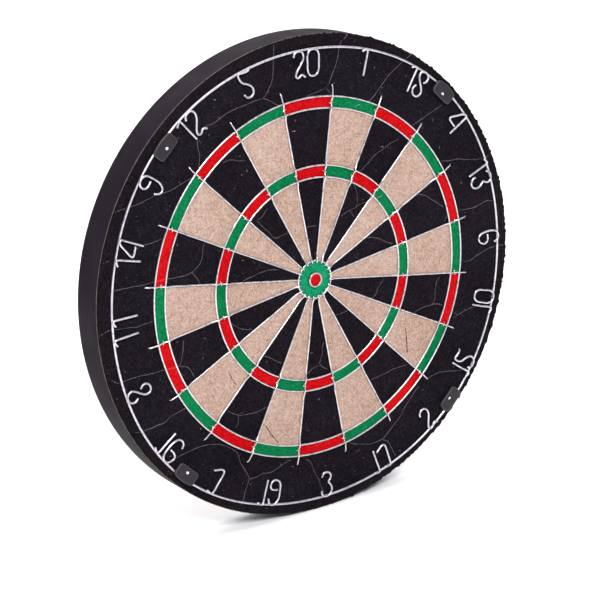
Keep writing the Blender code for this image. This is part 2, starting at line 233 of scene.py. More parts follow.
# ------------------------------------------------------------------------------------------
# materials
# ------------------------------------------------------------------------------------------
class Mat:
    """A small wrapper that keeps node graphs short to write."""

    def __init__(self, name, rough=0.5, metal=0.0, **sockets):
        self.mat = bpy.data.materials.new(name)
        self.mat.use_nodes = True
        self.t = self.mat.node_tree
        self.out = self.t.nodes["Material Output"]
        self.bsdf = self.t.nodes["Principled BSDF"]
        self.set("Roughness", rough)
        self.set("Metallic", metal)
        for k, v in sockets.items():
            self.set(k.replace("_", " "), v)
        self.coord = self.node("ShaderNodeTexCoord")

    def set(self, socket, value):
        self.bsdf.inputs[socket].default_value = value

    def node(self, kind, **props):
        n = self.t.nodes.new(kind)
        for k, v in props.items():
            setattr(n, k, v)
        return n

    def link(self, a, b):
        self.t.links.new(a, b)

    def mapping(self, scale=(1, 1, 1), loc=(0, 0, 0)):
        m = self.node("ShaderNodeMapping")
        self.link(self.coord.outputs["Object"], m.inputs["Vector"])
        m.inputs["Scale"].default_value = scale
        m.inputs["Location"].default_value = loc
        return m.outputs["Vector"]

    def noise(self, scale, detail=3.0, rough=0.55, vector=None, distortion=0.0):
        n = self.node("ShaderNodeTexNoise")
        n.inputs["Scale"].default_value = scale
        n.inputs["Detail"].default_value = detail
        n.inputs["Roughness"].default_value = rough
        n.inputs["Distortion"].default_value = distortion
        self.link(vector if vector is not None else self.coord.outputs["Object"], n.inputs["Vector"])
        return n

    def voronoi(self, scale, feature='F1', vector=None, randomness=1.0):
        n = self.node("ShaderNodeTexVoronoi", feature=feature)
        n.inputs["Scale"].default_value = scale
        n.inputs["Randomness"].default_value = randomness
        self.link(vector if vector is not None else self.coord.outputs["Object"], n.inputs["Vector"])
        return n

    def ramp(self, fac, stops, interp='LINEAR'):
        r = self.node("ShaderNodeValToRGB")
        r.color_ramp.interpolation = interp
        el = r.color_ramp.elements
        while len(el) < len(stops):
            el.new(0.5)
        for e, (pos, col) in zip(el, stops):
            e.position = pos
            if np.isscalar(col):
                col = (col, col, col)
            e.color = (*col[:3], 1.0)
        self.link(fac, r.inputs["Fac"])
        return r.outputs["Color"]

    def mix(self, fac, a, b, blend='MIX'):
        m = self.node("ShaderNodeMix", data_type='RGBA', blend_type=blend, clamp_factor=True)
        if np.isscalar(fac):
            m.inputs[0].default_value = fac
        else:
            self.link(fac, m.inputs[0])
        for sock, val in ((m.inputs[6], a), (m.inputs[7], b)):
            if isinstance(val, (tuple, list)):
                sock.default_value = (*val[:3], 1.0)
            else:
                self.link(val, sock)
        return m.outputs[2]

    def math(self, op, a, b=None, clamp=False):
        m = self.node("ShaderNodeMath", operation=op, use_clamp=clamp)
        for i, v in enumerate((a, b)):
            if v is None:
                continue
            if np.isscalar(v):
                m.inputs[i].default_value = v
            else:
                self.link(v, m.inputs[i])
        return m.outputs[0]

    def remap(self, value, a, b, c, d, smooth=True):
        m = self.node("ShaderNodeMapRange", interpolation_type='SMOOTHSTEP' if smooth else 'LINEAR')
        self.link(value, m.inputs["Value"])
        for n, v in (("From Min", a), ("From Max", b), ("To Min", c), ("To Max", d)):
            m.inputs[n].default_value = v
        return m.outputs["Result"]

    def bump(self, height, strength=0.3, distance=0.0005, chain=None):
        b = self.node("ShaderNodeBump")
        b.inputs["Strength"].default_value = strength
        b.inputs["Distance"].default_value = distance
        self.link(height, b.inputs["Height"])
        if chain is not None:
            self.link(chain, b.inputs["Normal"])
        return b.outputs["Normal"]

    def done(self, color=None, rough=None, normal=None):
        if color is not None:
            self.link(color, self.bsdf.inputs["Base Color"])
        if rough is not None:
            self.link(rough, self.bsdf.inputs["Roughness"])
        if normal is not None:
            self.link(normal, self.bsdf.inputs["Normal"])
        return self.mat


def srgb(r, g, b):
    def lin(c):
        c /= 255.0
        return c / 12.92 if c <= 0.04045 else ((c + 0.055) / 1.055) ** 2.4
    return (lin(r), lin(g), lin(b))


LIGHT = 0.66               # under this light a surface shows about 1 / LIGHT of its own colour


def dye(r, g, b):
    return tuple(c * LIGHT for c in srgb(r, g, b))


def sisal(name, deep, mid, light, fleck=None, fleck_amount=0.0, stain=None, stain_amount=0.0,
          bump=0.35, spread=0.10):
    """End-grain sisal: cut fibre ends as fine speckle, and the clumps they stand in."""
    m = Mat(name, rough=0.92)
    m.set("Specular IOR Level", 0.06)
    fine = m.noise(1150.0, 2.0, 0.6)
    grain = m.noise(560.0, 4.0, 0.7)
    clump = m.noise(120.0, 3.0, 0.6)
    broad = m.noise(14.0, 2.0, 0.5)
    tone = m.math('ADD', m.math('MULTIPLY', fine.outputs["Fac"], 0.38),
                  m.math('ADD', m.math('MULTIPLY', grain.outputs["Fac"], 0.44),
                         m.math('ADD', m.math('MULTIPLY', clump.outputs["Fac"], 0.08),
                                m.math('MULTIPLY', broad.outputs["Fac"], 0.10))))
    col = m.ramp(tone, [(0.50 - spread, deep), (0.50, mid), (0.50 + spread, light)])
    if stain is not None:
        spots = m.noise(60.0, 5.0, 0.7, distortion=0.6)
        col = m.mix(m.remap(spots.outputs["Fac"], 0.62, 0.76, 0.0, stain_amount), col, stain)
    if fleck is not None:
        cells = m.voronoi(300.0)
        pick = m.noise(70.0, 2.0)
        dots = m.math('MULTIPLY', m.remap(cells.outputs["Distance"], 0.12, 0.26, 1.0, 0.0),
                      m.remap(pick.outputs["Fac"], 0.56, 0.72, 0.0, fleck_amount))
        col = m.mix(dots, col, fleck)
    height = m.math('ADD', m.math('MULTIPLY', fine.outputs["Fac"], 0.5),
                    m.math('ADD', grain.outputs["Fac"], m.math('MULTIPLY', clump.outputs["Fac"], 0.7)))
    rough = m.remap(grain.outputs["Fac"], 0.3, 0.7, 0.97, 0.84)
    return m.done(col, rough, m.bump(height, bump, 0.0006))


BLACK = sisal("sisal_black", dye(10, 8, 13), dye(24, 19, 26), dye(46, 41, 49),
              fleck=dye(96, 90, 98), fleck_amount=0.5)
BEIGE = sisal("sisal_natural", dye(164, 128, 107), dye(206, 174, 157), dye(232, 208, 194),
              fleck=dye(138, 94, 68), fleck_amount=0.75, stain=dye(172, 130, 98), stain_amount=0.6)
RED = sisal("sisal_red", dye(172, 0, 10), dye(215, 6, 20), dye(240, 38, 36),
            fleck=dye(246, 84, 66), fleck_amount=0.5)
GREEN = sisal("sisal_green", dye(0, 94, 50), dye(2, 128, 74), dye(30, 154, 98),
              fleck=dye(96, 190, 140), fleck_amount=0.4)
GREEN_BULL = sisal("sisal_green_bull", dye(0, 118, 72), dye(12, 156, 104), dye(52, 180, 130),
                   fleck=dye(0, 62, 36), fleck_amount=0.95)
EDGE = sisal("sisal_edge", dye(10, 8, 11), dye(23, 18, 23), dye(48, 40, 43),
             fleck=dye(100, 60, 50), fleck_amount=0.9, bump=0.6)
SEAM_DARK = sisal("seam_in_black", dye(70, 64, 70), dye(98, 91, 97), dye(124, 117, 122))
SEAM_PALE = sisal("seam_in_natural", dye(184, 153, 134), dye(216, 190, 174), dye(236, 216, 204))
SEAM_RED = sisal("seam_in_red", dye(226, 30, 30), dye(240, 70, 56), dye(248, 110, 90))
SEAM_GREEN = sisal("seam_in_green", dye(34, 148, 96), dye(60, 166, 112), dye(110, 194, 150))
BRUISE = sisal("scuffed_fibre", dye(104, 64, 40), dye(138, 94, 66), dye(172, 130, 102), spread=0.14)
LINT_PALE = sisal("loose_fibre_pale", dye(120, 114, 116), dye(170, 162, 160), dye(214, 206, 200))
LINT_BROWN = sisal("loose_fibre_brown", dye(104, 66, 42), dye(140, 98, 68), dye(176, 136, 104))
STAIN = sisal("yellow_stain", dye(184, 138, 82), dye(202, 162, 110), dye(214, 180, 138))


def wire_material(name, base, dark, rough=0.40, metal=0.85):
    """Zinc-coated wire: fine dull mottling over a metallic body."""
    m = Mat(name, rough=rough, metal=metal)
    a = m.noise(260.0, 4.0, 0.6)
    b = m.noise(40.0, 2.0, 0.5)
    col = m.ramp(a.outputs["Fac"], [(0.30, dark), (0.50, base), (0.75, tuple(min(1.0, c * 1.06) for c in base))])
    col = m.mix(m.remap(b.outputs["Fac"], 0.60, 0.78, 0.0, 0.45), col, dark)
    normal = m.bump(a.outputs["Fac"], 0.12, 0.0002)
    return m.done(col, m.remap(b.outputs["Fac"], 0.35, 0.7, rough - 0.06, rough + 0.12), normal)


WIRE = wire_material("galvanised_wire", srgb(226, 222, 224), srgb(158, 153, 160), rough=0.30, metal=1.0)
NUMBER = wire_material("number_wire", srgb(220, 215, 224), srgb(160, 154, 166), rough=0.34, metal=1.0)
STEEL = wire_material("bull_strip", srgb(196, 176, 174), srgb(128, 112, 112), rough=0.30, metal=1.0)
# painted reflection: near-white colour with little metal makes the nail head bright under any light
NAIL_PAINTED_REFLECTION = wire_material("bright_nail", srgb(250, 250, 250), srgb(214, 214, 216), rough=0.40, metal=0.25)
ZINC = wire_material("zinc_plate", srgb(198, 200, 206), srgb(138, 140, 148), rough=0.30, metal=1.0)


def painted(name, base, wear_and_highlight_colour, rough, speck, edge_wear_highlight_amount=0.6, metal=0.0, level=0.42):
    """Satin paint with faint cloudiness, fine orange peel, scuffs, and lighter convex edges: part wear, part painted
    highlight.
    """
    m = Mat(name, rough=rough, metal=metal)
    m.set("Specular IOR Level", level)
    cloud = m.noise(24.0, 4.0, 0.6)
    peel = m.noise(speck, 2.0, 0.5)
    scuff = m.noise(70.0, 6.0, 0.75, m.mapping((1.0, 6.0, 1.0)), 0.4)
    col = m.ramp(cloud.outputs["Fac"], [(0.30, tuple(c * 0.86 for c in base)), (0.55, base),
                                        (0.78, tuple(c * 1.16 for c in base))])
    col = m.mix(m.remap(scuff.outputs["Fac"], 0.63, 0.80, 0.0, 0.35), col, wear_and_highlight_colour)
    if edge_wear_highlight_amount:
        # lighter where the surface is convex: part edge wear, part painted highlight
        geo = m.node("ShaderNodeNewGeometry")
        edge = m.math('MULTIPLY', m.remap(geo.outputs["Pointiness"], 0.515, 0.60, 0.0, edge_wear_highlight_amount),
                      m.remap(m.noise(160.0, 3.0).outputs["Fac"], 0.30, 0.60, 0.45, 1.0))
        col = m.mix(edge, col, wear_and_highlight_colour)
    normal = m.bump(peel.outputs["Fac"], 0.10, 0.0003)
    return m.done(col, m.remap(cloud.outputs["Fac"], 0.3, 0.7, rough - 0.05, rough + 0.09), normal)


BAND = painted("band_paint", dye(30, 17, 31), dye(60, 46, 58), 0.58, 900.0, level=0.06)
# painted highlight: a much lighter paint for the band's rolled front lip, where light catches the edge
BAND_LIP_HIGHLIGHT = painted("band_lip_painted_highlight", dye(128, 116, 122), dye(150, 138, 142), 0.46, 900.0, edge_wear_highlight_amount=0.0)
CLIP = painted("clip_paint", dye(46, 40, 47), dye(86, 79, 86), 0.46, 1300.0, level=0.25)
# painted highlight: lighter paint for the clip's rounded top edge, where the rounding catches light
CLIP_EDGE_HIGHLIGHT = painted("clip_paint_edge", dye(70, 64, 72), dye(98, 91, 98), 0.42, 1300.0, edge_wear_highlight_amount=0.0)
# painted shade: near-black paint for the walls and floor of the nail hole
CLIP_HOLE_SHADE = painted("clip_hole_dark", dye(8, 7, 8), dye(14, 12, 14), 0.7, 1300.0, edge_wear_highlight_amount=0.0, level=0.1)


def board_material():
    """Pressed wood-fibre board: short flakes in several browns."""
    m = Mat("fibre_board", rough=0.82)
    m.set("Specular IOR Level", 0.25)
    flake = m.voronoi(300.0, vector=m.mapping((1.0, 0.35, 1.9)))
    chips = m.voronoi(170.0, vector=m.mapping((2.1, 0.35, 1.0), (0.3, 0.1, 0.7)))
    dust = m.noise(1300.0, 3.0, 0.6)
    tone = m.node("ShaderNodeSeparateColor")
    m.link(flake.outputs["Color"], tone.inputs["Color"])
    tone2 = m.node("ShaderNodeSeparateColor")
    m.link(chips.outputs["Color"], tone2.inputs["Color"])
    mixv = m.math('ADD', m.math('MULTIPLY', tone.outputs[0], 0.5),
                  m.math('ADD', m.math('MULTIPLY', tone2.outputs[1], 0.35),
                         m.math('MULTIPLY', dust.outputs["Fac"], 0.15)))
    col = m.ramp(mixv, [(0.12, dye(112, 82, 56)), (0.42, dye(138, 104, 74)),
                        (0.66, dye(152, 118, 86)), (0.90, dye(170, 138, 106))])
    normal = m.bump(mixv, 0.25, 0.0004)
    return m.done(col, m.remap(dust.outputs["Fac"], 0.3, 0.7, 0.9, 0.76), normal)


BOARD = board_material()


def rubber_material():
    m = Mat("pad_rubber", rough=0.78)
    m.set("Specular IOR Level", 0.3)
    a = m.noise(900.0, 3.0)
    col = m.ramp(a.outputs["Fac"], [(0.3, srgb(22, 22, 23)), (0.7, srgb(40, 39, 40))])
    return m.done(col, m.remap(a.outputs["Fac"], 0.3, 0.7, 0.84, 0.7), m.bump(a.outputs["Fac"], 0.25, 0.0003))


RUBBER = rubber_material()


# ------------------------------------------------------------------------------------------
# sisal: one block with its sectors as material slots
# ------------------------------------------------------------------------------------------
def sector_black(deg):
    return int(((deg + 9.0) % 360.0) // 18.0) % 2 == 0


def undulation(x, y):
    """Height of the trimmed face: shallow waves and small clumps, in mm."""
    a = noise.noise(Vector((x * 0.018, y * 0.018, 3.1)))
    b = noise.noise(Vector((x * 0.09, y * 0.09, 7.7)))
    c = noise.noise(Vector((x * 0.45, y * 0.45, 1.3)))
    return 0.10 * a + 0.06 * b + 0.05 * c


def build_sisal():
    seg = 720
    radii = [0.6, 1.8, 3.2, 4.4, 5.2, BULL_IN + 0.15, BULL_OUT - 0.15]
    marks = [BULL_OUT - 0.15, BULL_WIRE, TREBLE_IN, TREBLE_OUT, DOUBLE_IN, DOUBLE_OUT, 222.0]
    for a, b in zip(marks, marks[1:]):
        k = max(2, int(round((b - a) / 2.1)))
        radii += [a + (b - a) * i / k for i in range(1, k + 1)]
    radii += [224.0, 225.6, 227.0, 228.2, 229.0, 229.5]
    edge_h = {224.0: -0.0, 225.6: -0.02, 227.0: -0.05, 228.2: -0.09, 229.0: -0.16, 229.5: -0.32}
    tail = [(229.4, -0.42), (CORE_R, -0.9), (CORE_R, -8.0), (CORE_R, -16.0), (CORE_R, -26.7)]
    verts, faces, mats = [(0.0, 0.0, 2.35)], [], []
    grid = []
    for r in radii:
        row = []
        for i in range(seg):
            deg = i * 0.5
            x, y, _ = clock(r, deg)
            if r < BULL_IN:
                h = 2.35 - 0.35 * (r / BULL_IN) ** 2 + 0.15 * noise.noise(Vector((x * 0.9, y * 0.9, 5.0)))
            else:
                h = undulation(x, y) + edge_h.get(r, 0.0)
            if r > 223.0:
                wob = (noise.noise(Vector((x * 0.13, y * 0.13, 9.0))) * 0.9
                       + noise.noise(Vector((x * 0.38, y * 0.38, 4.0))) * 1.1
                       + noise.noise(Vector((x * 0.9, y * 0.9, 14.0))) * 0.7)
                grow = max(0.0, (r - 226.0) / 3.5)
                h += wob * 0.2
                tuft = (noise.noise(Vector((x * 0.55, y * 0.55, 61.0))) * 1.5
                        + noise.noise(Vector((x * 1.5, y * 1.5, 67.0))) * 0.9)
                side = min(max((x + 60.0) / 130.0, 0.10), 1.0)      # worn ragged on the right only
                r2 = min(r + (wob * 0.5 + tuft * 1.35 + 0.55) * grow * side, 231.7)
                x, y, _ = clock(r2, deg)
            elif r > BULL_OUT:
                # the dye doesn't stop exactly under the wires
                x += 0.30 * noise.noise(Vector((x * 0.35, y * 0.35, 21.0))) + 0.22 * noise.noise(Vector((x * 1.1, y * 1.1, 23.0)))
                y += 0.30 * noise.noise(Vector((x * 0.35, y * 0.35, 31.0))) + 0.22 * noise.noise(Vector((x * 1.1, y * 1.1, 33.0)))
            row.append(len(verts))
            verts.append((x, y, h))
        grid.append(row)
    for r, h in tail:
        row = []
        for i in range(seg):
            x, y, _ = clock(r, i * 0.5)
            row.append(len(verts))
            verts.append((x, y, h))
        grid.append(row)
    for i in range(seg):
        j = (i + 1) % seg
        faces.append((0, grid[0][j], grid[0][i]))
        mats.append(2)
    count = len(radii)
    for k in range(len(grid) - 1):
        for i in range(seg):
            j = (i + 1) % seg
            faces.append((grid[k][i], grid[k][j], grid[k + 1][j], grid[k + 1][i]))
            if k + 1 >= count:
                mats.append(4)
                continue
            r, deg = (radii[k] + radii[k + 1]) / 2, i * 0.5 + 0.25
            black = sector_black(deg)
            if r < BULL_IN + 0.1:
                c = 2
            elif r < BULL_WIRE:
                c = 5
            elif TREBLE_IN < r < TREBLE_OUT or DOUBLE_IN < r < DOUBLE_OUT:
                c = 2 if black else 3
            elif r > DOUBLE_OUT:
                c = 4 if r > 222.0 else 0
            else:
                c = 0 if black else 1
            mats.append(c)
    back = len(verts)
    verts.append((0.0, 0.0, tail[-1][1]))
    for i in range(seg):
        faces.append((back, grid[-1][i], grid[-1][(i + 1) % seg]))
        mats.append(4)
    verts, faces = outward(verts, faces)
    ob = mesh_object("sisal_block", verts, faces, [BLACK, BEIGE, RED, GREEN, EDGE, GREEN_BULL], mats)
    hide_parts("sisal_core")
    return ob


build_sisal()


def build_fuzz():
    """Frayed fibre ends round the edge of the face."""
    parts = []
    for _ in range(5200):
        deg = rng.uniform(0, 360)
        r = 229.3 + rng.normal(0, 0.45)
        length = rng.uniform(0.5, 1.5)
        lift = rng.uniform(-0.9, 0.9)
        x, y, _h = clock(r, deg)
        base = np.array([x, y, -0.35 + rng.uniform(-0.2, 0.25)])
        rad = np.array([math.sin(math.radians(deg)), math.cos(math.radians(deg)), 0.0])
        tan = np.array([rad[1], -rad[0], 0.0])
        d = rad * rng.uniform(0.25, 1.0) + tan * rng.uniform(-0.9, 0.9) + np.array([0, 0, lift * 0.7])
        d /= np.linalg.norm(d)
        tip = base + d * length
        over = math.hypot(tip[0], tip[1]) - 230.9
        if over > 0:
            tip[:2] *= (math.hypot(tip[0], tip[1]) - over) / math.hypot(tip[0], tip[1])
        w = rng.uniform(0.10, 0.20)
        s1 = np.cross(d, (0.3, 0.2, 0.9))
        s1 /= np.linalg.norm(s1)
        s2 = np.cross(d, s1)
        ring = [base + (s1 * math.cos(a) + s2 * math.sin(a)) * w for a in (0.0, 2.1, 4.2)]
        parts.append((np.array(ring + [tip]), [(0, 1, 3), (1, 2, 3), (2, 0, 3), (0, 2, 1)]))
    v, f = join_parts(parts)
    ob = mesh_object("sisal_edge_fuzz", v, f, EDGE, smooth=False)


build_fuzz()


# Where the bundles of sisal meet. Each is a run of (x, y) points along the seam, in mm.
SEAMS = (
    ((-33, 226), (-34, 213), (-35, 202), (-37.5, 191), (-43, 182.5), (-47, 179)),
    ((-47, 179), (-58, 177), (-70, 175), (-80, 173), (-90, 169), (-98, 165), (-107, 163), (-113, 160), (-117, 157)),
    ((-117, 157), (-117.5, 145), (-116, 138), (-117.5, 128), (-120, 121)),
    ((-47, 179), (-39, 175), (-33, 171), (-28, 169.5)),
    ((-205, 102), (-193, 103), (-180, 105), (-172, 107.5), (-163, 110), (-152, 111), (-142, 113.5), (-132, 117),
     (-121, 120)),
    ((-187, 65), (-177, 67), (-167, 68), (-159, 70)),
    ((-220, 58), (-213, 59.5)),
    ((-212, 32), (-200, 31.5), (-180, 31.5), (-168, 31.5), (-157, 31.5), (-140, 31.5), (-131, 33), (-124, 37),
     (-120, 43), (-118, 52), (-116, 57.5)),
    ((-131, 33), (-128, 29), (-125, 25), (-123, 20)),
    ((-93, 127), (-84, 128.5), (-77, 126.5), (-68, 125)),
    ((-80, 13), (-68, 16), (-58, 18), (-48, 18.5), (-38, 16.5)),
    ((-60, 67.5), (-53, 60), (-47, 54), (-41, 48), (-32.5, 48.5), (-27, 50)),
    ((-60, 68), (-54, 70), (-50, 74.5), (-47.5, 77.5)),
    ((-6, 51.5), (5, 51)),
    ((48, 226), (45, 222), (40, 219.5), (37.5, 212), (35, 203), (32.5, 196), (29, 190), (25, 182.5), (21, 178.5),
     (13, 176.5), (7, 175), (-2, 173)),
    ((21, 178.5), (25, 174), (27.5, 170)),
    ((120, 196), (110, 191), (102, 186.5), (93, 180), (86, 174), (81, 169), (75, 163), (68, 158.5)),
    ((155, 141.5), (145, 139), (135, 135), (127, 131.5), (117.5, 128)),
    ((102, 118), (93, 115), (85, 111.5), (75, 107.5), (67, 101.5), (58, 94.5)),
    ((47.5, 85), (51, 77.5), (52, 70), (51, 61.5), (43, 58.5), (32, 55)),
    ((51, 61.5), (61, 63.5)),
    ((43, 58.5), (48.5, 51)),
    ((58, 29), (67, 28), (75, 25), (83, 21), (92, 16.5)),
    ((122, 60), (130, 58), (138, 53), (145, 48), (152.5, 43)),
    ((151, 88), (162, 86.5), (172, 86.5), (182, 84), (195, 82.5), (210, 83)),
    ((171, 36), (182, 34.5), (192, 35), (200, 37), (208, 38.5), (218, 36)),
    ((154, 26), (156, 31), (159, 35)),
    ((-227, -6), (-218, -3), (-210, -4), (-200, -5), (-191, -6), (-182, -5), (-173, -4)),
    ((-144, -28), (-144.5, -35), (-146, -43), (-148, -49), (-152, -52), (-159, -52), (-168, -52), (-180, -52.5),
     (-190, -52), (-200, -52.5), (-207.5, -53.5), (-214, -53.5), (-220, -49)),
    ((-150, -52), (-142.5, -54.5), (-138, -59), (-135, -66)),
    ((-144, -93), (-153, -95), (-162, -98), (-170, -102), (-178, -103), (-189, -105), (-200, -104)),
    ((-160, -139), (-150, -137), (-140, -135), (-132, -134), (-122, -135), (-113, -137), (-105, -141), (-98, -146),
     (-93, -152), (-91, -160), (-87, -168), (-83, -176), (-82.5, -180), (-84, -185), (-87, -192), (-90, -199),
     (-94, -204)),
    ((-82.5, -180), (-75, -180), (-68, -178), (-58, -179), (-50, -177), (-42, -174), (-34, -172)),
    ((-18, -175.5), (-13, -180), (-10, -187), (-7, -195), (-3, -202), (-2, -208), (2, -217)),
    ((-102, -106), (-97, -110), (-90, -113.5), (-82.5, -115), (-75, -115.5), (-67, -115), (-57.5, -113)),
    ((-90, -113.5), (-90.5, -120), (-94, -126)),
    ((-59, -62.5), (-53, -65.5), (-47, -70), (-40, -74)),
    ((-93, -23), (-89, -27), (-84, -30), (-77.5, -33), (-70, -34)),
    ((-13, -91), (-7, -88), (2.5, -85.5)),
    ((175, -17), (183, -18), (192, -15), (200, -12.5), (208, -10), (217, -9.5), (227, -10)),
    ((80, -16), (76, -20), (72, -24), (71, -29), (66, -32), (61, -34)),
    ((147, -27), (142.5, -33), (141, -42), (140, -49), (136, -53.5), (127, -54), (118, -56), (112.5, -58.5)),
    ((136, -53.5), (143, -54), (150, -57)),
    ((162, -73), (169, -71), (177, -68), (187, -66.5)),
    ((163, -67), (168, -71)),
    ((61, -114.5), (70, -112.5), (80, -111), (88, -109), (97, -108.5), (104, -108.5)),
    ((20, -40), (28, -40), (37, -38.5)),
    ((8, -63), (6, -68), (5.5, -75), (2.5, -84), (6, -88), (12, -92.5)),
    ((129, -128), (138, -126), (147, -125.5), (155, -126.5), (163, -128), (172, -130)),
    ((119, -134), (114, -137.5), (108, -143.5), (100, -152), (92, -162), (83, -170), (77, -175.5), (72, -178),
     (62, -179.5), (52, -178.5), (43, -176), (33, -172)),
    ((72, -178), (78, -182), (83, -189), (88, -200)),
)


def zone(x, y):
    """0 black, 1 natural, 2 red, 3 green at a point of the face."""
    r, deg = math.hypot(x, y), math.degrees(math.atan2(x, y)) % 360.0
    if r > DOUBLE_OUT:
        return 0
    if r < BULL_WIRE:
        return 3
    black = sector_black(deg)
    if TREBLE_IN < r < TREBLE_OUT or DOUBLE_IN < r < DOUBLE_OUT:
        return 2 if black else 3
    return 0 if black else 1


def strip(path, widths, crown, sink=0.12):
    """A low closed ridge lying on the face along path (x, y), widths each side of it."""
    p = np.asarray(path, float)
    t = np.gradient(p, axis=0)
    t /= np.maximum(np.linalg.norm(t, axis=1), 1e-9)[:, None]
    n = np.stack([-t[:, 1], t[:, 0]], 1)
    verts, faces = [], []
    for q, m, w in zip(p, n, widths):
        h = undulation(q[0], q[1])
        verts += [(q[0] + m[0] * w, q[1] + m[1] * w, h - 0.02), (q[0], q[1], h + crown),
                  (q[0] - m[0] * w, q[1] - m[1] * w, h - 0.02), (q[0], q[1], h - sink)]
    for i in range(len(p) - 1):
        for k in range(4):
            a, b = i * 4 + k, i * 4 + (k + 1) % 4
            faces.append((a, b, b + 4, a + 4))
    e = (len(p) - 1) * 4
    faces += [(3, 2, 1, 0), (e, e + 1, e + 2, e + 3)]
    return outward(verts, faces)


def build_seams():
    groups = {0: [], 1: [], 2: [], 3: []}
    for run in SEAMS:
        path = smooth_path([(x, y, 0.0) for x, y in run], step=1.4)[:, :2]
        for q in path:
            w = Vector((q[0] * 0.11, q[1] * 0.11, 2.0))
            q += (0.7 * noise.noise(w), 0.7 * noise.noise(w + Vector((9, 3, 1))))
            w = Vector((q[0] * 0.5, q[1] * 0.5, 6.0))
            q += (0.25 * noise.noise(w), 0.25 * noise.noise(w + Vector((9, 3, 1))))
        width = [0.42 + 0.30 * noise.noise(Vector((q[0] * 0.12, q[1] * 0.12, 40.0)))
                 + 0.12 * noise.noise(Vector((q[0] * 0.7, q[1] * 0.7, 44.0))) for q in path]
        width = np.maximum(width, 0.12)
        width[0] = width[-1] = 0.05
        start = 0
        kinds = [zone(*((path[i] + path[i + 1]) / 2)) for i in range(len(path) - 1)]
        for i in range(1, len(kinds) + 1):
            if i == len(kinds) or kinds[i] != kinds[start]:
                if i - start >= 2:
                    groups[kinds[start]].append(strip(path[start:i + 1], width[start:i + 1], 0.10))
                start = i
    for kind, mat in ((0, SEAM_DARK), (1, SEAM_PALE), (2, SEAM_RED), (3, SEAM_GREEN)):
        if groups[kind]:
            v, f = join_parts(groups[kind])
            mesh_object("seams_in_%s" % ("black", "natural", "red", "green")[kind], v, f, mat)


build_seams()


